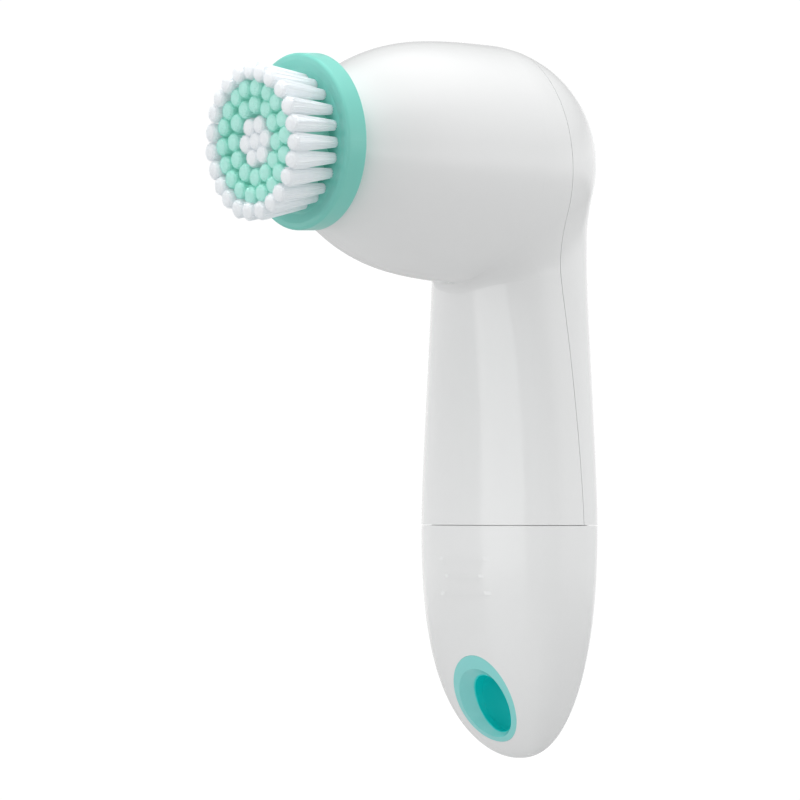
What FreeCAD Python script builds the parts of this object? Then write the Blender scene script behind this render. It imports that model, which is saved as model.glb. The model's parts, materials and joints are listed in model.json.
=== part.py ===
# Battery-powered facial cleansing brush: handle, head, cap, gear train and brush head.
# Frame: origin at the centre of the hanging hole, +Z up the handle, the brush faces -Y.
import FreeCAD
import Part
import math
import os
import Sketcher

V = FreeCAD.Vector
doc = FreeCAD.newDocument("cleansing_brush")

# ------------------------------------------------------------------ sizes (mm, degrees)
SIZES = {
    # outer body
    "joint_height": 38.3, "tip_height": -11.75, "neck_height": 93.15, "top_height": 108.0,
    "joint_width": 24.46, "joint_depth": 12.45, "neck_narrowing": 5.84, "neck_deepening": 0.86,
    "wall": 2.0, "seam_gap": 0.12, "cap_gap": 0.15, "seam_lean": 2.35, "seam_level": 88.0,
    # head
    "head_radius": 25.85, "head_centre": 8.93, "head_height": 114.84, "head_incline": 4.64,
    "nose_plane": 51.0, "brush_height": 120.35,
    # hanging hole and grip
    "bore_radius": 6.0, "sleeve_radius": 7.4, "lip_radius": 10.1, "funnel_radius": 9.1,
    "lip_tilt": 22.0, "lip_level": 5.95, "lip_height": 1.04, "funnel_depth": 2.4,
    "ridge_high": 31.05, "ridge_middle": 27.35, "ridge_low": 23.7, "ridge_rise": 0.28, "ridge_crown": 0.8,
    "ridge_long": 19.2, "ridge_short": 14.4, "ridge_width": 0.8,
    # brush head
    "disc_radius": 19.0, "disc_back": 51.4, "disc_front": 56.4, "disc_floor": 55.9,
    "tuft_tip": 69.4, "tuft_gap": 0.02,
    # drive
    "spindle_radius": 2.5, "spindle_fit": 0.05, "module_size": 0.4, "gear_centres": 9.2,
    "pinion_teeth": 10, "wheel_teeth": 36, "idler_teeth": 12, "output_teeth": 34,
    "plate_radius": 17.0, "plate_thick": 1.2, "rear_plate": 19.3, "front_plate": 30.5,
    "pin_radius": 1.0, "pin_fit": 0.03, "boss_circle": 15.0, "boss_radius": 2.5,
    "motor_radius": 9.8, "motor_flat": 15.2, "motor_front": 19.3, "motor_length": 22.8,
    "shaft_radius": 1.0, "rotor_radius": 6.5, "rotor_hub": 3.0,
    # batteries
    "cell_radius": 7.2, "cell_length": 50.5, "cell_offset": 7.75, "cell_base": 18.4,
    "tube_radius": 8.25, "tube_bore": 7.45, "tube_base": 17.6, "tube_top": 71.0,
    # switch
    "button_height": 82.0, "button_radius": 5.5, "button_clear": 0.3,
}
sheet = doc.addObject("Spreadsheet::Sheet", "sizes")
for row, (alias, value) in enumerate(SIZES.items(), start=1):
    sheet.set("A%d" % row, alias)
    sheet.set("B%d" % row, str(value))
    sheet.setAlias("B%d" % row, alias)
doc.recompute()


def size(alias):
    """Value of one sheet cell."""
    return float(getattr(sheet, alias))


def bind(obj, **expressions):
    """Bind properties to sheet formulas; names are written with $ in front."""
    for prop, text in expressions.items():
        obj.setExpression(prop.replace("__", "."), text.replace("$", "sizes."))


finished = []


def keep(obj, label):
    """Name one sub-part and list it for export."""
    obj.Label = label
    finished.append(obj)
    return obj


def shaped(shape, label):
    """A sub-part whose surface only shape functions can make."""
    obj = doc.addObject("Part::Feature", "shape_" + label)
    placement = shape.Placement
    obj.Shape = shape
    obj.Placement = placement
    return keep(obj, label)


# ------------------------------------------------------------------ outer surface
SQUARENESS = 2.6
CAP_STATIONS = (0.995, 0.97, 0.92, 0.84, 0.74, 0.6, 0.4, 0.2, 0.0)
HANDLE_STATIONS = (52.0, 66.0, 80.0, 90.0, 96.0)


def section(z):
    """Half width, half depth and backward shift of the body at height z."""
    joint = size("joint_height")
    width = size("joint_width")
    depth = size("joint_depth")
    if z <= joint:
        t = (joint - z) / (joint - size("tip_height"))
        half_width = width * (1 - t ** 2.9) ** 0.45
        half_depth = depth * (1 - 0.666 * t ** 2.2) * math.sqrt(1 - t ** 10)
        return half_width, half_depth, 2.65 * t ** 5
    w = min(1.0, (z - joint) / (size("neck_height") - joint))
    half_width = width - size("neck_narrowing") * w ** 1.6
    half_depth = depth - 0.28 * math.sin(math.pi * w) + size("neck_deepening") * w ** 4
    return half_width, half_depth, 0.0


def signed_power(value, power):
    if abs(value) < 1e-9:
        return 0.0
    return math.copysign(abs(value) ** power, value)


def loop(z, inset, count=24):
    """Closed rounded-rectangle outline at height z, moved inwards by inset."""
    half_width, half_depth, shift = section(z)
    points = []
    for i in range(count):
        angle = 2 * math.pi * i / count - math.pi / 2
        x = (half_width - inset) * signed_power(math.cos(angle), 2 / SQUARENESS)
        y = (half_depth - inset) * signed_power(math.sin(angle), 2 / SQUARENESS)
        points.append(V(x, shift + y, z))
    curve = Part.BSplineCurve()
    curve.interpolate(Points=points, PeriodicFlag=True)
    return Part.Wire(curve.toShape())


def column(inset, low, high):
    """Solid between two heights that follows the body outline."""
    joint = size("joint_height")
    drop = joint - size("tip_height")
    heights = [joint - t * drop for t in CAP_STATIONS] + list(HANDLE_STATIONS)
    heights = [low] + [z for z in heights if low + 1 < z < high - 1] + [high]
    return Part.makeLoft([loop(z, inset) for z in heights], True, False)


def body_column(grow=0.0):
    """Whole handle and cap, closed to a point at the tip."""
    joint = size("joint_height")
    drop = joint - size("tip_height")
    heights = [joint - t * drop for t in CAP_STATIONS] + list(HANDLE_STATIONS)
    wires = [loop(z, -grow) for z in heights + [size("top_height")]]
    tip = Part.Vertex(V(0, 2.65, size("tip_height") - grow))
    return Part.makeLoft([tip] + wires, True, False)


def head_solid(inset):
    """Egg-shaped head: round back, nose narrowing towards the brush."""
    centre = size("head_centre")
    radius = size("head_radius") - inset
    nose = size("nose_plane") + 1.5
    outline = ((22.0, 25.55), (32.0, 24.1), (40.0, 21.2), (46.0, 17.95), (nose, 14.0))
    side = [V(0, -centre, -radius)]
    side += [V(0, -u, -(r - inset)) for u, r in outline]
    curve = Part.BSplineCurve()
    curve.interpolate(Points=side, InitialTangent=V(0, -1, 0), FinalTangent=V(0, -1, 0.75))
    back = V(0, radius - centre, 0)
    slant = radius * math.sqrt(0.5)
    dome = Part.Arc(back, V(0, slant - centre, -slant), side[0])
    front = V(0, -nose, 0)
    edges = [dome.toShape(), curve.toShape()]
    edges.append(Part.LineSegment(side[-1], front).toShape())
    edges.append(Part.LineSegment(front, back).toShape())
    solid = Part.Face(Part.Wire(edges)).revolve(V(0, 0, 0), V(0, 1, 0), 360)
    solid.rotate(V(0, 0, 0), V(1, 0, 0), -size("head_incline"))
    solid.translate(V(0, 0, size("head_height")))
    block = Part.makeBox(80, 30, 80, V(-40, -size("nose_plane") + inset - 30, 80))
    return solid.cut(block)


# ------------------------------------------------------------------ blended outer body
BLEND_FRONT = 2.4
BLEND_SIDE = 5.0
BLEND_BACK = 60.0

raw_body = doc.addObject("Part::Feature", "raw_body")
raw_body.Shape = head_solid(0).fuse(body_column())


def neck_blend(y):
    """Blend radius, small under the brush and large behind the head."""
    if y < -12:
        return BLEND_FRONT
    if y < 0:
        return BLEND_SIDE
    return BLEND_BACK


neck_edges = []
for number, edge in enumerate(raw_body.Shape.Edges, start=1):
    if edge.Length < 1 or edge.Length > 60:
        continue
    middle = edge.valueAt((edge.FirstParameter + edge.LastParameter) / 2)
    if 85 < middle.z < 110 and abs(middle.x) > 3:
        first, last = [vertex.Point.y for vertex in edge.Vertexes]
        neck_edges.append((number, neck_blend(first), neck_blend(last)))
blended = doc.addObject("Part::Fillet", "blended_body")
blended.Base = raw_body
blended.Edges = neck_edges
doc.recompute()
outer = blended.Shape

joint = size("joint_height")
wall = size("wall")
everything = 400.0


def slab(low, high):
    """Everything between two heights."""
    return Part.makeBox(everything, everything, high - low, V(-200, -200, low))


def cylinder_y(radius, front, back, x=0.0, z=0.0):
    """Cylinder along Y from y = -front to y = -back."""
    return Part.makeCylinder(radius, front - back, V(x, -front, z), V(0, 1, 0))


def behind_seam(shift):
    """Half space behind the slightly leaning parting plane."""
    box = Part.makeBox(everything, 200, everything, V(-200, shift, -200))
    box.rotate(V(0, 0, 0), V(1, 0, 0), size("seam_lean"))
    box.translate(V(0, 0, size("seam_level")))
    return box


# ------------------------------------------------------------------ housing halves
housing = outer.common(slab(joint, 160))
hollow = head_solid(wall).fuse(column(wall, joint - 1, 104.0))
spigot = column(wall + size("cap_gap"), joint - 5.0, joint + 1.5)
spigot = spigot.fuse(column(wall - 0.5, joint, joint + 1.5))
spigot = spigot.cut(column(wall + 1.5, joint - 6.0, joint + 2.5))
seal_groove = column(wall, joint - 3.4, joint - 2.0)
spigot = spigot.cut(seal_groove.cut(column(wall + 0.8, joint - 3.5, joint - 1.9)))
nose = size("nose_plane")
brush_z = size("brush_height")
shell = housing.cut(hollow).fuse(spigot)

# screw bosses for the gear frame, reaching forwards into the nose
inside_wall = head_solid(wall * 0.5)
boss_places = []
for angle in (40, 140, 270):
    x = size("boss_circle") * math.cos(math.radians(angle))
    z = brush_z + size("boss_circle") * math.sin(math.radians(angle))
    boss_places.append((x, z))
plate_front = size("front_plate") + size("plate_thick")
for x, z in boss_places:
    boss = cylinder_y(size("boss_radius"), nose, plate_front, x, z).common(inside_wall)
    shell = shell.fuse(boss)
for x, z in boss_places:
    shell = shell.cut(cylinder_y(1.0, plate_front + 7.0, plate_front - 1, x, z))

# seat for the bearing bush behind the nose
bush_seat = cylinder_y(7.5, nose - 0.5, nose - 9.0, 0, brush_z)
shell = shell.fuse(bush_seat)
shell = shell.cut(cylinder_y(4.5, nose + 5, nose - 20, 0, brush_z))
shell = shell.cut(cylinder_y(5.65, nose + 5, nose - 0.65, 0, brush_z))
# post that holds the back of the motor
motor_back = size("motor_front") - size("motor_length") - 2.6
post = cylinder_y(4.0, motor_back - 0.1, -20, 0, brush_z).common(inside_wall)
post = post.cut(cylinder_y(2.0, motor_back + 1, motor_back - 2.5, 0, brush_z))
shell = shell.fuse(post)
# window for the push button
button_z = size("button_height")
window = size("button_radius") + size("button_clear")
shell = shell.cut(cylinder_y(window, 0, -25, 0, button_z))

half_gap = size("seam_gap") / 2
front_housing = shell.cut(behind_seam(-half_gap))
rear_cover = shell.common(behind_seam(half_gap))
shaped(front_housing, "front_housing")
shaped(rear_cover, "rear_cover")

# ------------------------------------------------------------------ battery cap
def grip_rib(z, span, skin):
    """Low rib across the front whose two ends run out into the handle."""
    half_width, half_depth, shift = section(z)
    half = span / 2
    end = half_depth * (1 - (half / half_width) ** SQUARENESS) ** (1 / SQUARENESS) - shift - 0.05
    top = half_depth - shift + size("ridge_crown")
    rise = top - end
    radius = (half ** 2 + rise ** 2) / (2 * rise)
    tall = size("ridge_width")
    rib = Part.makeCylinder(radius, tall, V(0, radius - top, z - tall / 2))
    rib = rib.common(Part.makeBox(span, 6, tall, V(-half, -top - 1, z - tall / 2)))
    return rib.common(skin)


cap_top = joint - size("cap_gap")
cap = body_column().common(slab(-20, cap_top))
rib_skin = body_column(size("ridge_rise"))
for alias, length in (("ridge_high", "ridge_long"), ("ridge_middle", "ridge_short"),
                      ("ridge_low", "ridge_long")):
    cap = cap.fuse(grip_rib(size(alias), size(length), rib_skin))
cap = cap.cut(column(wall, -3.0, joint + 1))
boss_ring = cylinder_y(size("sleeve_radius") + 2.2, 30, -30)
cap = cap.fuse(boss_ring.common(body_column()).common(slab(-20, cap_top)))
shelf = column(wall - 0.2, 11.2, 12.8).common(slab(11.2, 12.8))
cap = cap.fuse(shelf)

tilt = math.radians(size("lip_tilt"))
lip_normal = V(0, -math.cos(tilt), -math.sin(tilt))
lip_centre = V(0, -size("lip_level"), size("lip_height"))
lip_radius = size("lip_radius")
lip_seat = 3.2


def tilted(radius, deep, rise):
    """Cylinder square to the tilted lip plane."""
    return Part.makeCylinder(radius, deep + rise, lip_centre - lip_normal * deep, lip_normal)


cap = cap.cut(tilted(lip_radius + 0.03, lip_seat, 12))
cap = cap.cut(cylinder_y(size("sleeve_radius") + 0.03, 30, -30))
shaped(cap, "battery_cap")

# mint bezel with an eccentric funnel
bezel = tilted(lip_radius, lip_seat - 0.03, 12).common(body_column())
rim_centre = lip_centre + lip_normal * 3.0
rim = Part.makeCircle(size("funnel_radius") + 1.1, rim_centre, lip_normal)
floor_centre = lip_centre - lip_normal * size("funnel_depth")
floor_centre.z = -0.2
floor = Part.makeCircle(size("bore_radius") + 0.1, floor_centre, lip_normal)
funnel = Part.makeLoft([Part.Wire(rim), Part.Wire(floor)], True, True)
bezel = bezel.cut(funnel).cut(cylinder_y(size("bore_radius"), 30, -30))
shaped(bezel, "hang_bezel")

sleeve = cylinder_y(size("sleeve_radius"), 30, -30).common(body_column())
sleeve = sleeve.cut(tilted(lip_radius + 2, lip_seat, 14))
sleeve = sleeve.cut(cylinder_y(size("bore_radius"), 30, -30))
shaped(sleeve, "hang_sleeve")


# ------------------------------------------------------------------ part design helpers
def new_body(label):
    body = doc.addObject("PartDesign::Body", "body_" + label)
    return keep(body, label)


def plane_of(body, role):
    for item in body.Origin.OriginFeatures:
        if item.Role == role:
            return item
    raise ValueError(role)


def new_sketch(body, role, name):
    sketch = body.newObject("Sketcher::SketchObject", name + "_" + body.Name)
    sketch.AttachmentSupport = [(plane_of(body, role), "")]
    sketch.MapMode = "FlatFace"
    return sketch


def add_outline(sketch, points):
    """Closed straight-sided outline."""
    for start, end in zip(points, points[1:] + points[:1]):
        sketch.addGeometry(Part.LineSegment(V(*start, 0), V(*end, 0)), False)


def add_rounded(sketch, corners):
    """Closed outline; corners are (x, y, rounding radius)."""
    ends = []
    arcs = []
    total = len(corners)
    for i, (x, y, radius) in enumerate(corners):
        here = V(x, y, 0)
        before = V(*corners[i - 1][:2], 0)
        after = V(*corners[(i + 1) % total][:2], 0)
        if radius == 0:
            ends.append((here, here))
            arcs.append(None)
            continue
        one = (before - here).normalize()
        two = (after - here).normalize()
        half = one.getAngle(two) / 2
        reach = radius / math.tan(half)
        start = here + one * reach
        end = here + two * reach
        middle_way = (one + two).normalize()
        middle = here + middle_way * (radius / math.sin(half) - radius)
        ends.append((start, end))
        arcs.append(Part.Arc(start, middle, end))
    for i in range(total):
        if arcs[i]:
            sketch.addGeometry(arcs[i], False)
        start = ends[i][1]
        end = ends[(i + 1) % total][0]
        if (end - start).Length > 1e-6:
            sketch.addGeometry(Part.LineSegment(start, end), False)


def add_circle(sketch, x, y, radius):
    sketch.addGeometry(Part.Circle(V(x, y, 0), V(0, 0, 1), radius), False)


def pad(body, sketch, length):
    """Pad whose length is a sheet formula."""
    feature = body.newObject("PartDesign::Pad", "pad_" + sketch.Name)
    feature.Profile = sketch
    sketch.Visibility = False
    bind(feature, Length=length)
    return feature


def turned(label, points, height="$brush_height"):
    """Revolution about the body's own Y axis; points are (radius, forward distance, rounding)."""
    body = new_body(label)
    sketch = new_sketch(body, "XY_Plane", "profile")
    add_rounded(sketch, [(p[0], -p[1], p[2] if len(p) > 2 else 0) for p in points])
    feature = body.newObject("PartDesign::Revolution", "turn_" + label)
    feature.Profile = sketch
    feature.ReferenceAxis = (sketch, ["V_Axis"])
    feature.Angle = 360
    bind(body, Placement__Base__z=height)
    return body


def upright(label, points, x, z):
    """Revolution about a vertical axis; points are (radius, height)."""
    body = new_body(label)
    sketch = new_sketch(body, "XZ_Plane", "profile")
    add_outline(sketch, points)
    feature = body.newObject("PartDesign::Revolution", "turn_" + label)
    feature.Profile = sketch
    feature.ReferenceAxis = (sketch, ["V_Axis"])
    feature.Angle = 360
    bind(body, Placement__Base__x=x, Placement__Base__z=z)
    return body


def facing(label, x, back_front, height):
    """Body whose sketches lie in the XY plane and pad towards -Y."""
    body = new_body(label)
    body.Placement = FreeCAD.Placement(V(0, 0, 0), FreeCAD.Rotation(V(1, 0, 0), 90))
    bind(body, Placement__Base__x=x, Placement__Base__y="-(" + back_front + ")")
    bind(body, Placement__Base__z=height)
    return body


# ------------------------------------------------------------------ gears
def involute_outline(teeth, clearance_fraction, thin):
    """Involute tooth outline, teeth thinned by an angle for backlash."""
    module = size("module_size")
    pitch = module * teeth / 2
    base = pitch * math.cos(math.radians(20))
    tip = pitch + module * 0.92
    root = pitch - module * clearance_fraction
    spread = math.tan(math.radians(20)) - math.radians(20)
    half = math.pi / (2 * teeth) + spread - thin / pitch
    flank = []
    steps = 4
    start = max(base, root + 0.02)
    for i in range(steps + 1):
        radius = start + (tip - start) * i / steps
        pressure = math.acos(min(1.0, base / radius))
        flank.append((radius, half - (math.tan(pressure) - pressure)))
    points = []
    for tooth in range(teeth):
        middle = 2 * math.pi * tooth / teeth
        side = [(root, -flank[0][1])] + [(r, -a) for r, a in flank]
        side += [(r, a) for r, a in reversed(flank)] + [(root, flank[0][1])]
        for radius, angle in side:
            points.append((radius * math.cos(middle + angle), radius * math.sin(middle + angle)))
    return points


def add_gear(body, name, teeth, bore, start, length, phase, thin=0.035):
    """One toothed wheel added to a body that pads towards -Y."""
    sketch = new_sketch(body, "XY_Plane", name)
    sketch.AttachmentOffset = FreeCAD.Placement(V(0, 0, start), FreeCAD.Rotation(V(0, 0, 1), phase))
    add_outline(sketch, involute_outline(teeth, 1.3, thin))
    if bore:
        add_circle(sketch, 0, 0, bore)
    return pad(body, sketch, length)


centres = size("gear_centres")
shaft_radius = size("shaft_radius")

# pinion on the motor shaft, compound idler below it, output wheel back on the brush axis
pinion = facing("motor_pinion", "0", "21.0", "$brush_height")
add_gear(pinion, "teeth", int(size("pinion_teeth")), shaft_radius, 0.0, "3.2", 0.0)

idler = facing("idler_gear", "0", "21.2", "$brush_height - $gear_centres")
idler_bore = size("pin_radius") + size("pin_fit")
add_gear(idler, "wheel", int(size("wheel_teeth")), idler_bore, 0.0, "2.8", 90.0)
add_gear(idler, "pinion", int(size("idler_teeth")), idler_bore, 2.8, "5.6", 90.0)

output = facing("output_gear", "0", "25.2", "$brush_height")
output_teeth = int(size("output_teeth"))
half_tooth = 180.0 / output_teeth
add_gear(output, "teeth", output_teeth, size("spindle_radius"), 0.0, "3.6", half_tooth - 90.0)

# ------------------------------------------------------------------ shafts and bearings
gear_pin = facing("gear_pin", "0", "$rear_plate + 0.1", "$brush_height - $gear_centres")
sketch = new_sketch(gear_pin, "XY_Plane", "round")
add_circle(sketch, 0, 0, size("pin_radius"))
pad(gear_pin, sketch, "$front_plate + $plate_thick - $rear_plate - 0.2")

spindle_radius = size("spindle_radius")
turned("drive_spindle", [(0, 24.9), (spindle_radius, 24.9), (spindle_radius, 53.6),
                         (spindle_radius - 0.4, 54.0), (0, 54.0)])
fit = size("spindle_fit")
turned("spindle_bush", [(spindle_radius + fit, 40.0), (4.48, 40.0), (4.48, 50.4), (5.6, 50.4),
                        (5.6, 51.0), (spindle_radius + fit, 51.0)])
turned("spindle_clip", [(spindle_radius + 0.02, 33.6), (4.0, 33.6), (4.0, 34.4),
                        (spindle_radius + 0.02, 34.4)])

# ------------------------------------------------------------------ gear frame
post_places = []
for angle in (90, 205, 335):
    post_x = 14.0 * math.cos(math.radians(angle))
    post_y = 14.0 * math.sin(math.radians(angle))
    post_places.append((post_x, post_y))
rear_frame = facing("rear_gear_plate", "0", "$rear_plate + $plate_thick", "$brush_height")
sketch = new_sketch(rear_frame, "XY_Plane", "disc")
add_circle(sketch, 0, 0, size("plate_radius"))
add_circle(sketch, 0, 0, 3.2)
add_circle(sketch, 0, -centres, size("pin_radius") + 0.02)
sketch.AttachmentOffset = FreeCAD.Placement(V(0, 0, -size("plate_thick")), FreeCAD.Rotation())
pad(rear_frame, sketch, "$plate_thick")
sketch = new_sketch(rear_frame, "XY_Plane", "posts")
for x, y in post_places:
    add_circle(sketch, x, y, 1.9)
pad(rear_frame, sketch, "$front_plate - $rear_plate - $plate_thick")

front_frame = facing("front_gear_plate", "0", "$front_plate", "$brush_height")
sketch = new_sketch(front_frame, "XY_Plane", "disc")
add_circle(sketch, 0, 0, size("plate_radius") + 0.6)
add_circle(sketch, 0, 0, spindle_radius + fit)
add_circle(sketch, 0, -centres, size("pin_radius") + 0.02)
for x, z in boss_places:
    add_circle(sketch, x, z - brush_z, 1.1)
pad(front_frame, sketch, "$plate_thick")

screws = doc.addObject("Part::Feature", "screws")
screw_solids = []
for x, z in boss_places:
    head = cylinder_y(1.9, size("front_plate") - 0.02, size("front_plate") - 1.2, x, z)
    shank = cylinder_y(0.98, plate_front + 6.0, size("front_plate") - 1.0, x, z)
    slot = Part.makeBox(3.0, 0.6, 0.5, V(x - 1.5, -size("front_plate") + 0.7, z - 0.25))
    screw_solids.append(head.fuse(shank).cut(slot))
screws.Shape = Part.makeCompound(screw_solids)
keep(screws, "frame_screws")

# ------------------------------------------------------------------ motor
motor_radius = size("motor_radius")
motor_length = size("motor_length")
can = doc.addObject("Part::Feature", "motor_can_shape")
front = size("motor_front") - 0.05
shape = cylinder_y(motor_radius, front, front - motor_length, 0, brush_z)
flat = size("motor_flat")
shape = shape.common(Part.makeBox(flat, 80, 60, V(-flat / 2, -60, brush_z - 30)))
shape = shape.fuse(cylinder_y(3.1, front + 1.0, front - 1, 0, brush_z))
shape = shape.cut(cylinder_y(motor_radius - 2.9, front - 1.0, front - motor_length - 1, 0, brush_z))
shape = shape.cut(cylinder_y(shaft_radius + 0.03, front + 2, front - 3, 0, brush_z))
can.Shape = shape
keep(can, "motor_can")
end_back = front - motor_length
turned("motor_end_cap", [(shaft_radius + 0.05, end_back - 0.02), (6.8, end_back - 0.02),
                         (6.8, end_back - 2.0), (3.0, end_back - 2.4),
                         (shaft_radius + 0.05, end_back - 2.4)])
turned("motor_shaft", [(0, end_back - 1.5), (shaft_radius - 0.01, end_back - 1.5),
                       (shaft_radius - 0.01, 24.4), (0, 24.4)])
rotor = facing("motor_rotor_core", "0", str(round(end_back + 3.0, 3)), "$brush_height")
sketch = new_sketch(rotor, "XY_Plane", "stack")
rotor_hub = size("rotor_hub")
rotor_rim = size("rotor_radius")
rotor_corners = [(rotor_hub, -24), (rotor_rim, -48), (rotor_rim, -16), (rotor_rim, 16),
                 (rotor_rim, 48), (rotor_hub, 24)]
ring = []
for k in range(3):
    for radius, angle in rotor_corners:
        turn = math.radians(angle + 120 * k)
        ring.append((radius * math.cos(turn), radius * math.sin(turn)))
add_outline(sketch, ring)
add_circle(sketch, 0, 0, shaft_radius)
pad(rotor, sketch, "14.0")

# ------------------------------------------------------------------ batteries and carrier
cell = size("cell_radius")
length = size("cell_length")
profile = [(0, 0), (cell - 0.6, 0), (cell, 0.5), (cell, length - 1.9), (cell - 0.8, length - 1.4),
           (2.75, length - 1.4), (2.75, length), (0, length)]
upright("battery_left", profile, "$cell_offset", "$cell_base")
flipped = [(r, length - h) for r, h in profile]
upright("battery_right", flipped, "-$cell_offset", "$cell_base")

tubes = []
bores = []
offset = size("cell_offset")
base = size("tube_base")
top = size("tube_top")
for side in (-1, 1):
    tubes.append(Part.makeCylinder(size("tube_radius"), top - base, V(side * offset, 0, base)))
    bores.append(Part.makeCylinder(size("tube_bore"), top - base + 2, V(side * offset, 0, base - 1)))
carrier = tubes[0].fuse(tubes[1])
flange = column(wall + 0.1, joint + 3.0, joint + 5.0)
carrier = carrier.fuse(flange)
carrier = carrier.fuse(Part.makeBox(30, 8, 1.2, V(-15, -4, top - 1.2)))
for bore in bores:
    carrier = carrier.cut(bore.common(slab(base - 2, top - 1.2)))
shaped(carrier, "battery_carrier")


def leaf_spring(x, low, high, width):
    """Bent strip that presses on the flat end of a cell."""
    rise = high - low
    outline = [(-4.0, 0), (-3.5, 0), (-0.3, rise - 0.5), (0.3, rise - 0.5), (3.5, 0), (4.0, 0),
               (0.5, rise), (-0.5, rise)]
    points = [V(x + dx, -width / 2, low + dz) for dx, dz in outline]
    face = Part.Face(Part.makePolygon(points + points[:1]))
    return face.extrude(V(0, width, 0))


top_plate = Part.makeBox(10, 9, 0.4, V(-offset - 5, -4.5, top - 1.7))
top_plate = top_plate.fuse(Part.makeBox(10, 9, 0.4, V(offset - 5, -4.5, top - 1.7)))
shaped(top_plate, "top_contacts")
bridge = Part.makeBox(2 * offset + 10, 9, 0.4, V(-offset - 5, -4.5, 12.85))
shaped(bridge, "cap_bridge")
shaped(leaf_spring(offset, 13.27, 18.2, 5.0), "cap_spring")
seal = column(wall + 0.05, joint - 3.35, joint - 2.05)
seal = seal.cut(column(wall + 0.75, joint - 3.5, joint - 1.9))
shaped(seal, "cap_seal")

# ------------------------------------------------------------------ push button and switch
button = size("button_radius")
turned("power_button", [(0, -9.1), (6.6, -9.1), (6.6, -9.8), (button, -9.8),
                        (button, -13.2, 0.9), (0, -13.5)], height="$button_height")
board = Part.makeBox(22, 1.2, 20, V(-11, 4.4, button_z - 9.5))
shaped(board, "switch_board")
switch = Part.makeBox(6.2, 2.0, 6.2, V(-3.1, 5.62, button_z - 3.1))
switch = switch.fuse(Part.makeCylinder(1.7, 0.6, V(0, 7.5, button_z), V(0, 1, 0)))
shaped(switch, "tact_switch")

# ------------------------------------------------------------------ brush head
disc = size("disc_radius")
back = size("disc_back")
face = size("disc_front")
level = size("disc_floor")
bore = spindle_radius + fit
turned("brush_base", [(bore, back), (disc, back, 0.5), (disc, face, 0.7), (17.5, face, 0.35),
                      (15.6, level, 0.8), (0, level), (0, 54.1), (bore, 54.1)])


def tuft(radius, turn, low, high, lean, base_radius, tip_radius):
    """One flared bristle tuft with a rounded end."""
    length = high - low
    profile = [V(0, 0, -1), V(base_radius, 0, -1), V(tip_radius, 0, length * 0.88)]
    profile += [V(tip_radius * 0.86, 0, length * 0.965), V(tip_radius * 0.5, 0, length)]
    profile += [V(0, 0, length), V(0, 0, -1)]
    solid = Part.Face(Part.makePolygon(profile)).revolve(V(0, 0, 0), V(0, 0, 1), 360)
    solid.rotate(V(0, 0, 0), V(0, 1, 0), lean)
    solid.translate(V(radius, 0, 0))
    solid.rotate(V(0, 0, 0), V(0, 0, 1), turn)
    solid.rotate(V(0, 0, 0), V(1, 0, 0), 90)
    solid.translate(V(0, -low, brush_z))
    solid = solid.common(cylinder_y(30, high + 1, low, 0, brush_z))
    return solid


def tuft_ring(label, rings, tip):
    """Rings of (count, radius, phase, lean, base radius, tip radius) that end at one plane."""
    solids = []
    for count, radius, phase, lean, base_radius, tip_radius in rings:
        for i in range(count):
            turn = phase + 360.0 * i / count
            solids.append(tuft(radius, turn, level + size("tuft_gap"), tip, lean, base_radius,
                               tip_radius))
    return shaped(Part.makeCompound(solids), label)


tuft_ring("outer_tufts", [(23, 13.5, 0.0, 7.5, 1.15, 1.95)], size("tuft_tip"))
tuft_ring("mint_tufts_outer", [(18, 10.4, 5.0, 5.5, 1.15, 1.5)], size("tuft_tip") - 0.6)
tuft_ring("mint_tufts_inner", [(12, 7.1, 0.0, 4.0, 1.15, 1.55)], size("tuft_tip") - 1.0)
tuft_ring("centre_tufts", [(6, 3.4, 10.0, 2.0, 1.15, 1.6), (1, 0.0, 0.0, 0.0, 1.2, 1.7)],
          size("tuft_tip") - 1.2)

# ------------------------------------------------------------------ check and write
doc.recompute()
os.makedirs("parts", exist_ok=True)
for obj in doc.Objects:
    if "Invalid" in obj.State or "Error" in obj.State:
        raise RuntimeError("object failed: " + obj.Label)
for obj in finished:
    shape = obj.Shape
    if shape.isNull() or not shape.isValid() or not shape.Solids:
        raise RuntimeError("bad shape: " + obj.Label)
    shape.exportStep(os.path.join("parts", obj.Label + ".step"))
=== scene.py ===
"""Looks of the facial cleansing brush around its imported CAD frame."""

import json
import math
import random
from collections import namedtuple

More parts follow.
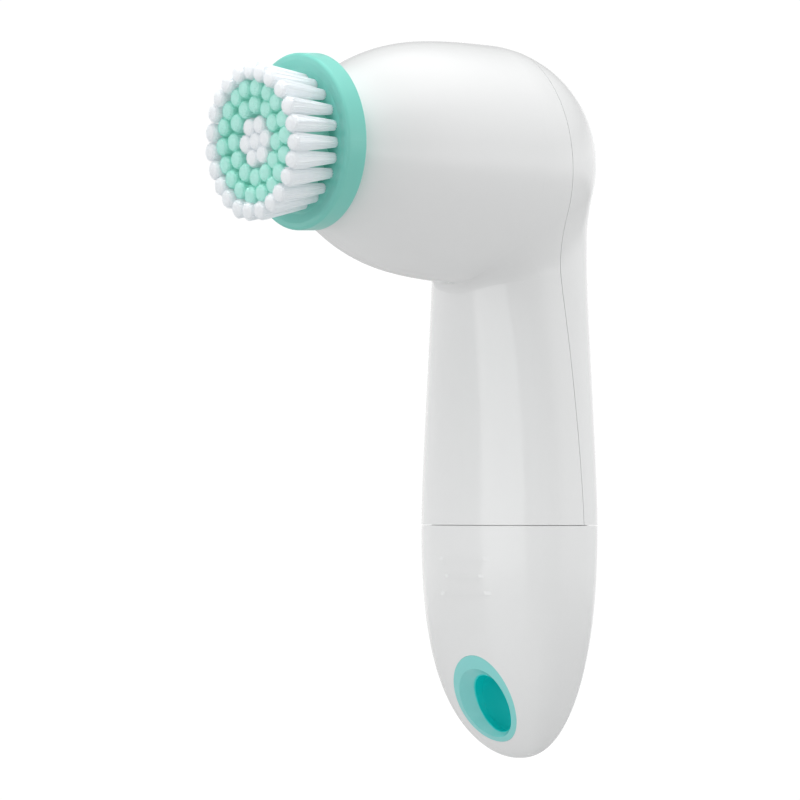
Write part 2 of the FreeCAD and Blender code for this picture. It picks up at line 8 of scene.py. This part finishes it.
import bmesh
import bpy
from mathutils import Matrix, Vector


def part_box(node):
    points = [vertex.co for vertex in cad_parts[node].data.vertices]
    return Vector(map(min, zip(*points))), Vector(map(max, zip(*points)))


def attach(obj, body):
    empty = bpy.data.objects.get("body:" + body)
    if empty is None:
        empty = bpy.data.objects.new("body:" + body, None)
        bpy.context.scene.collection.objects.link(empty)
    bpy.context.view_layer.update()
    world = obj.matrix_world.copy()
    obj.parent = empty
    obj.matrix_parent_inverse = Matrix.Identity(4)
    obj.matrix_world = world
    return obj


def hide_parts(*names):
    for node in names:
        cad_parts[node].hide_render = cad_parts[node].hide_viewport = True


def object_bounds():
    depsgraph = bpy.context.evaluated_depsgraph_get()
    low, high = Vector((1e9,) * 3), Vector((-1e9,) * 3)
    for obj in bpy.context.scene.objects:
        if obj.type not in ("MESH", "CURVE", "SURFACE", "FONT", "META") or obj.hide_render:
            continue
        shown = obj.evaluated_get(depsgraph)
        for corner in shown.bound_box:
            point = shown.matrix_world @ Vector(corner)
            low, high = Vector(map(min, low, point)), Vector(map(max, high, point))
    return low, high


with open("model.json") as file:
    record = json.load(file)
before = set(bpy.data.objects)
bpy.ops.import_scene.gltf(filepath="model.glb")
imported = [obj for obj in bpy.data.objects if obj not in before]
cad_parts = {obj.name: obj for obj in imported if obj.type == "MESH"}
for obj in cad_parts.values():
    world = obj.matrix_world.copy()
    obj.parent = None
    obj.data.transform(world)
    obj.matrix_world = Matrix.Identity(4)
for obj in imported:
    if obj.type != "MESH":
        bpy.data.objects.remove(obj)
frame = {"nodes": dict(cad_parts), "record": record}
low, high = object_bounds()
MM = 0.001
record = frame["record"]
ranges = {joint["name"]: joint.get("range_m") for joint in record["behaviour"]["joints"]}
brush_low, brush_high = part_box("brush_base")


# ---------------------------------------------------------------- materials
def srgb(r, g, b):
    """8-bit sRGB values to linear RGBA."""
    out = []
    for value in (r, g, b):
        value = value / 255.0
        out.append(value / 12.92 if value <= 0.04045 else ((value + 0.055) / 1.055) ** 2.4)
    return (*out, 1.0)


def plastic(name, color, roughness, coat=0.0, speckle=0.0, scale=400.0, metallic=0.0, vary=0.15):
    """Principled surface with a faint procedural roughness and colour variation."""
    mat = bpy.data.materials.new(name)
    mat.use_nodes = True
    nodes, links = mat.node_tree.nodes, mat.node_tree.links
    bsdf = nodes["Principled BSDF"]
    bsdf.inputs["Metallic"].default_value = metallic
    bsdf.inputs["Coat Weight"].default_value = coat
    bsdf.inputs["Coat Roughness"].default_value = 0.08
    coords = nodes.new("ShaderNodeTexCoord")
    noise = nodes.new("ShaderNodeTexNoise")
    noise.inputs["Scale"].default_value = scale
    noise.inputs["Detail"].default_value = 4.0
    links.new(coords.outputs["Object"], noise.inputs["Vector"])
    rough = nodes.new("ShaderNodeMapRange")
    rough.inputs["To Min"].default_value = roughness * (1.0 - vary)
    rough.inputs["To Max"].default_value = roughness * (1.0 + vary)
    links.new(noise.outputs["Fac"], rough.inputs["Value"])
    links.new(rough.outputs["Result"], bsdf.inputs["Roughness"])
    mix = nodes.new("ShaderNodeMix")
    mix.data_type = "RGBA"
    mix.inputs["A"].default_value = color
    mix.inputs["B"].default_value = tuple(c * (1.0 - speckle) for c in color[:3]) + (1.0,)
    links.new(noise.outputs["Fac"], mix.inputs["Factor"])
    links.new(mix.outputs["Result"], bsdf.inputs["Base Color"])
    return mat


def glowing(mat, color, strength):
    """Add a little light of the material's own."""
    bsdf = mat.node_tree.nodes["Principled BSDF"]
    bsdf.inputs["Emission Color"].default_value = (*color, 1.0)
    bsdf.inputs["Emission Strength"].default_value = strength
    return mat


def inner_tone(mat, color, full, none):
    """Another colour near the Y axis: complete within one radius, gone beyond the other."""
    nodes, links = mat.node_tree.nodes, mat.node_tree.links
    coords = nodes.new("ShaderNodeTexCoord")
    flat = nodes.new("ShaderNodeVectorMath")
    flat.operation = "MULTIPLY"
    flat.inputs[1].default_value = (1.0, 0.0, 1.0)
    links.new(coords.outputs["Object"], flat.inputs[0])
    reach = nodes.new("ShaderNodeVectorMath")
    reach.operation = "LENGTH"
    links.new(flat.outputs["Vector"], reach.inputs[0])
    share = nodes.new("ShaderNodeMapRange")
    share.inputs["From Min"].default_value = full
    share.inputs["From Max"].default_value = none
    share.inputs["To Min"].default_value = 1.0
    share.inputs["To Max"].default_value = 0.0
    links.new(reach.outputs["Value"], share.inputs["Value"])
    mix = nodes.new("ShaderNodeMix")
    mix.data_type = "RGBA"
    base_color = nodes["Principled BSDF"].inputs["Base Color"]
    links.new(base_color.links[0].from_socket, mix.inputs["A"])
    mix.inputs["B"].default_value = color
    links.new(share.outputs["Result"], mix.inputs["Factor"])
    links.new(mix.outputs["Result"], base_color)


WHITE = plastic("shell white", srgb(242, 243, 243), 0.12, coat=0.3, speckle=0.01, scale=300.0)
MINT = plastic("mint plastic", srgb(126, 212, 199), 0.3, coat=0.2, speckle=0.02)
BEZEL = plastic("bezel mint", srgb(142, 224, 221), 0.25, coat=0.2, speckle=0.02)
TEAL_COLOR = srgb(0, 215, 213)
HOLE_RADIUS = record["mounts"][0]["dims"]["r_mm"] * MM
inner_tone(BEZEL, TEAL_COLOR, HOLE_RADIUS + 0.1 * MM, HOLE_RADIUS + 0.3 * MM)
TEAL = plastic("teal plastic", TEAL_COLOR, 0.5, speckle=0.05)
TEAL.node_tree.nodes["Principled BSDF"].inputs["Specular IOR Level"].default_value = 0.15
STEEL = plastic("steel", srgb(190, 190, 195), 0.3, metallic=1.0, speckle=0.05)
BRASS = plastic("brass", srgb(205, 170, 95), 0.3, metallic=1.0, speckle=0.05)
NATURAL = plastic("natural plastic", srgb(225, 222, 210), 0.45, speckle=0.03)
DARK = plastic("dark plastic", srgb(45, 45, 48), 0.5, speckle=0.1)
RUBBER = plastic("seal rubber", srgb(35, 35, 35), 0.7, speckle=0.1)
BOARD = plastic("board green", srgb(30, 95, 55), 0.4, speckle=0.1)
WRAP = plastic("cell wrap", srgb(60, 62, 70), 0.3, speckle=0.1)
FUR_WHITE = plastic("bristle white", srgb(247, 250, 253), 0.5, speckle=0.06, scale=900.0)
FUR_MINT = plastic("bristle mint", srgb(192, 247, 236), 0.5, speckle=0.1, scale=900.0)
# painted light: both bristle colours glow a little of their own, white and mint, standing in for
# light that passes through and between the hairs
glowing(FUR_WHITE, (0.88, 1.0, 1.0), 0.06)
glowing(FUR_MINT, (0.10, 0.34, 0.28), 0.14)

NODE_LOOKS = {
    "front_housing": WHITE, "rear_cover": WHITE, "battery_cap": WHITE, "hang_bezel": BEZEL,
    "hang_sleeve": TEAL, "motor_pinion": BRASS, "idler_gear": NATURAL, "output_gear": NATURAL,
    "gear_pin": STEEL, "drive_spindle": STEEL, "spindle_bush": BRASS, "spindle_clip": STEEL,
    "rear_gear_plate": NATURAL, "front_gear_plate": NATURAL, "frame_screws": STEEL,
    "motor_can": STEEL, "motor_end_cap": DARK, "motor_shaft": STEEL, "motor_rotor_core": STEEL,
    "battery_left": WRAP, "battery_right": WRAP, "battery_carrier": DARK, "top_contacts": STEEL,
    "cap_bridge": STEEL, "cap_spring": STEEL, "cap_seal": RUBBER, "power_button": MINT,
    "switch_board": BOARD, "tact_switch": DARK, "brush_base": MINT,
}
for name, look in NODE_LOOKS.items():
    node = frame["nodes"][name]
    node.data.materials.clear()
    node.data.materials.append(look)


# ---------------------------------------------------------------- bristles (mm, degrees)
AXIS_Z = (brush_low[2] + brush_high[2]) / 2 / MM
ROOT = -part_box("outer_tufts")[1][1] / MM
HAIR_RADIUS = 0.06
HAIR_SIDES = 3
CORE_SIDES = 14
CORE_PROFILE = ((0.0, 0.80), (0.04, 1.0), (0.5, 1.0), (0.88, 1.0), (0.94, 0.95), (0.98, 0.78),
                (1.0, 0.4))
GOLDEN_ANGLE = 2.39996
DOME = 0.07
INNER_SHARE = 0.72
INNER_START = 0.72

# the tufts on one circle: how many, the circle's radius, the first one's angle, how far they
# lean outwards, a tuft's radius at its foot and at its tip, and the number of its hairs
Circle = namedtuple("Circle", "count radius phase lean foot_radius tip_radius hairs")


def tuft_axes(radius, turn, lean):
    """Foot, direction and two side directions of one tuft."""
    a = math.radians(turn)
    out = Vector((math.cos(a), 0, math.sin(a)))
    foot = Vector((0, -ROOT, AXIS_Z)) + out * radius
    tilt = math.radians(lean)
    along = Vector((0, -1, 0)) * math.cos(tilt) + out * math.sin(tilt)
    side = along.cross(Vector((-math.sin(a), 0, math.cos(a)))).normalized()
    return foot, along, side, along.cross(side).normalized()


def tube(bm, centres, radii, side, other, sides, turn=0.0):
    """Many-sided tube through a few centres, closed at its end and kept out of the base."""
    rings = []
    for centre, radius in zip(centres, radii):
        ring = []
        for k in range(sides):
            b = 2 * math.pi * k / sides + turn
            point = centre + (side * math.cos(b) + other * math.sin(b)) * radius
            point.y = min(point.y, -ROOT)
            ring.append(bm.verts.new(point * MM))
        rings.append(ring)
    for lower, upper in zip(rings, rings[1:]):
        for k in range(sides):
            after = (k + 1) % sides
            bm.faces.new((lower[k], lower[after], upper[after], upper[k]))
    bm.faces.new(rings[-1])


def core(bm, circle, axes, height):
    """Solid middle of a tuft, hidden behind its hairs."""
    foot, along, side, other = axes
    foot_radius = circle.foot_radius * 0.93
    tip_radius = circle.tip_radius * 0.90
    length = height * 0.985
    centres = [foot + along * (length * t) for t, full in CORE_PROFILE]
    radii = [(foot_radius + (tip_radius - foot_radius) * t) * full for t, full in CORE_PROFILE]
    tube(bm, centres, radii, side, other, CORE_SIDES)


def hair(bm, rng, circle, axes, height, number):
    """One hair: it follows the tuft's cone, wanders a little and flares at its end."""
    foot, along, side, other = axes
    share = math.sqrt((number + 0.5) / circle.hairs)
    angle = number * GOLDEN_ANGLE + rng.uniform(-0.2, 0.2)
    end = 1.0 - DOME * share ** 4.0 - rng.uniform(0.0, 0.022)
    start = 0.0 if share > INNER_SHARE else INNER_START
    wander = rng.uniform(-0.10, 0.10)
    flare = rng.uniform(-0.06, 0.09)
    centres = []
    for t in (start, start + (end - start) * 0.45, end * 0.94, end):
        spread = (circle.foot_radius + (circle.tip_radius - circle.foot_radius) * t) * share
        if t > end * 0.9:
            spread += flare * (t - end * 0.9) / (end * 0.1)
        b = angle + wander * t
        offset = (side * math.cos(b) + other * math.sin(b)) * spread
        centres.append(foot + along * (height * t) + offset)
    radii = [HAIR_RADIUS, HAIR_RADIUS, HAIR_RADIUS, HAIR_RADIUS * 0.5]
    tube(bm, centres, radii, side, other, HAIR_SIDES, angle)


def tufts(name, circles, look, node, seed, tip):
    """All tufts of one CAD node: a solid core covered with fine hairs."""
    rng = random.Random(seed)
    bm = bmesh.new()
    for circle in circles:
        for i in range(circle.count):
            turn = circle.phase + 360.0 * i / circle.count + rng.uniform(-1.4, 1.4)
            axes = tuft_axes(circle.radius, turn, circle.lean + rng.uniform(-1.0, 1.0))
            height = (tip - ROOT - rng.uniform(0.0, 0.35)) / math.cos(math.radians(circle.lean))
            core(bm, circle, axes, height)
            for number in range(circle.hairs):
                hair(bm, rng, circle, axes, height, number)
    mesh = bpy.data.meshes.new(name)
    bm.to_mesh(mesh)
    bm.free()
    obj = bpy.data.objects.new(name, mesh)
    bpy.context.scene.collection.objects.link(obj)
    mesh.materials.append(look)
    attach(obj, "brush_head")
    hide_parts(node)


tufts("outer_hairs", [Circle(23, 13.5, 0.0, 7.5, 1.1, 2.25, 240)],
      FUR_WHITE, "outer_tufts", seed=1, tip=69.2)
tufts("mint_hairs_outer", [Circle(18, 10.4, 5.0, 5.5, 1.15, 2.3, 230)],
      FUR_MINT, "mint_tufts_outer", seed=2, tip=68.7)
tufts("mint_hairs_inner", [Circle(12, 7.1, 0.0, 4.0, 1.15, 2.35, 230)],
      FUR_MINT, "mint_tufts_inner", seed=3, tip=68.3)
tufts("centre_hairs", [Circle(6, 3.4, 10.0, 2.0, 1.15, 2.25, 230),
                       Circle(1, 0.0, 0.0, 0.0, 1.2, 2.3, 230)],
      FUR_WHITE, "centre_tufts", seed=4, tip=68.1)


# ---------------------------------------------------------------- floor
FLOOR_RADIUS = 0.9
FLOOR_GAP = 0.0003


def floor_piece():
    """Pale glossy disc, low enough for the cap to be pulled off above it."""
    mesh = bpy.data.meshes.new("floor")
    bm = bmesh.new()
    bmesh.ops.create_circle(bm, cap_ends=True, segments=96, radius=FLOOR_RADIUS)
    bm.to_mesh(mesh)
    bm.free()
    obj = bpy.data.objects.new("floor", mesh)
    obj.location = (0.0, 0.0, low[2] - ranges["cap_release"][1] - FLOOR_GAP)
    bpy.context.scene.collection.objects.link(obj)
    paint = plastic("floor paint", srgb(206, 206, 206), 0.14, vary=0.01)
    mesh.materials.append(glowing(paint, (1.0, 1.0, 1.0), 0.02))


floor_piece()


# ---------------------------------------------------------------- main view
AZIMUTH = math.radians(54.0)
TO_CAMERA = Vector((math.sin(AZIMUTH), -math.cos(AZIMUTH), 0.0))
SCREEN_RIGHT = Vector((math.cos(AZIMUTH), math.sin(AZIMUTH), 0.0))
UP = Vector((0.0, 0.0, 1.0))
TARGET = Vector((-0.0138, -0.0190, 0.0651))
VIEW_WIDTH = 0.1718
LENS = 1500.0
SENSOR = 36.0

camera_data = bpy.data.cameras.new("camera")
camera_data.lens = LENS
camera_data.sensor_width = SENSOR
camera_data.clip_start = 0.1
camera_data.clip_end = 30.0
camera = bpy.data.objects.new("camera", camera_data)
camera.location = TARGET + TO_CAMERA * (VIEW_WIDTH * LENS / SENSOR)
camera.rotation_euler = TO_CAMERA.to_track_quat("Z", "Y").to_euler()
bpy.context.scene.collection.objects.link(camera)
bpy.context.scene.camera = camera
bpy.context.scene.view_settings.view_transform = "Standard"


# ---------------------------------------------------------------- studio world
world = bpy.data.worlds.new("studio")
bpy.context.scene.world = world
world.use_nodes = True
wn, wl = world.node_tree.nodes, world.node_tree.links
world_coords = wn.new("ShaderNodeTexCoord")


def world_math(operation, first, second):
    """One maths node of the studio world; inputs are sockets or numbers."""
    node = wn.new("ShaderNodeMath")
    node.operation = operation
    for socket, value in zip(node.inputs, (first, second)):
        if isinstance(value, (int, float)):
            socket.default_value = value
        else:
            wl.new(value, socket)
    return node.outputs["Value"]


def world_range(value, from_min, from_max, to_min, to_max):
    """Smooth step from one brightness to another as the value grows."""
    node = wn.new("ShaderNodeMapRange")
    node.interpolation_type = "SMOOTHSTEP"
    wl.new(value, node.inputs["Value"])
    node.inputs["From Min"].default_value = from_min
    node.inputs["From Max"].default_value = from_max
    node.inputs["To Min"].default_value = to_min
    node.inputs["To Max"].default_value = to_max
    return node.outputs["Result"]


def world_dot(vector):
    """How nearly the world's direction points along a fixed one."""
    node = wn.new("ShaderNodeVectorMath")
    node.operation = "DOT_PRODUCT"
    wl.new(world_coords.outputs["Generated"], node.inputs[0])
    node.inputs[1].default_value = vector
    return node.outputs["Value"]


def heading(degrees):
    """Level direction at an angle to the right of the way to the camera."""
    turn = math.radians(degrees)
    return TO_CAMERA * math.cos(turn) + SCREEN_RIGHT * math.sin(turn)


# bright band along the horizon, dimmer above and below it
HORIZON = 1.04
SKY = 0.46
GROUND = 0.55
rise = world_dot(UP)
sky = world_range(rise, 0.04, 0.25, HORIZON, SKY)
ground = world_range(world_math("MULTIPLY", rise, -1.0), 0.03, 0.14, HORIZON, GROUND)
base = world_math("MINIMUM", sky, ground)

# tall softbox on the left whose edges show as the steps of light down the handle
BOX_LEFT = -102.0
BOX_RIGHT = -52.0
BOX_STRENGTH = 0.9
left_edge = world_range(world_dot(heading(BOX_LEFT + 90.0)), 0.0, 0.03, 0.0, 1.0)
right_edge = world_range(world_dot(heading(BOX_RIGHT - 90.0)), 0.0, 0.08, 0.0, 1.0)
top_edge = world_range(rise, 0.30, 0.45, 1.0, 0.0)
low_edge = world_range(rise, -0.60, -0.50, 0.0, 1.0)
softbox = world_math("MULTIPLY", world_math("MULTIPLY", left_edge, right_edge),
                     world_math("MULTIPLY", top_edge, low_edge))

# broad glow on the right, and light from straight above
GLOW_HEADING = 78.0
GLOW_RISE = math.radians(8.0)
glow_way = heading(GLOW_HEADING) * math.cos(GLOW_RISE) + UP * math.sin(GLOW_RISE)
side_glow = world_range(world_dot(glow_way), 0.55, 1.0, 0.0, 0.38)
overhead = world_range(rise, 0.62, 1.0, 0.0, 0.9)
glow = world_math("ADD", side_glow, overhead)
total = world_math("ADD", world_math("ADD", base, glow),
                   world_math("MULTIPLY", softbox, BOX_STRENGTH))
wl.new(total, wn["Background"].inputs["Strength"])
wn["Background"].inputs["Color"].default_value = (1.0, 1.0, 1.0, 1.0)


# ---------------------------------------------------------------- lights
def area_light(name, place, size, power, aim=TARGET, spread=180.0):
    """Softbox whose place is right of, above and in front of the target in the main view."""
    right, up, near = place
    data = bpy.data.lights.new(name, "AREA")
    data.shape = "RECTANGLE"
    data.size, data.size_y = size
    data.energy = power
    data.spread = math.radians(spread)
    obj = bpy.data.objects.new(name, data)
    obj.location = TARGET + SCREEN_RIGHT * right + UP * up + TO_CAMERA * near
    obj.rotation_euler = (obj.location - aim).to_track_quat("Z", "Y").to_euler()
    obj.visible_glossy = False
    bpy.context.scene.collection.objects.link(obj)


HOLE = Vector((0.0, 0.0, 0.0))
brush_centre = (Vector(brush_low) + Vector(brush_high)) * 0.5
before_brush = brush_centre + Vector((0.0, -0.014, 0.0))
area_light("key", (0.06, 0.62, 0.05), (0.90, 0.50), 1.5)
area_light("cap_fill", (-0.14, -0.060, 0.32), (0.06, 0.03), 0.0028, HOLE, 26.0)
area_light("brush_top", (-0.0350, 0.235, 0.042), (0.02, 0.02), 0.0018, before_brush, 15.0)
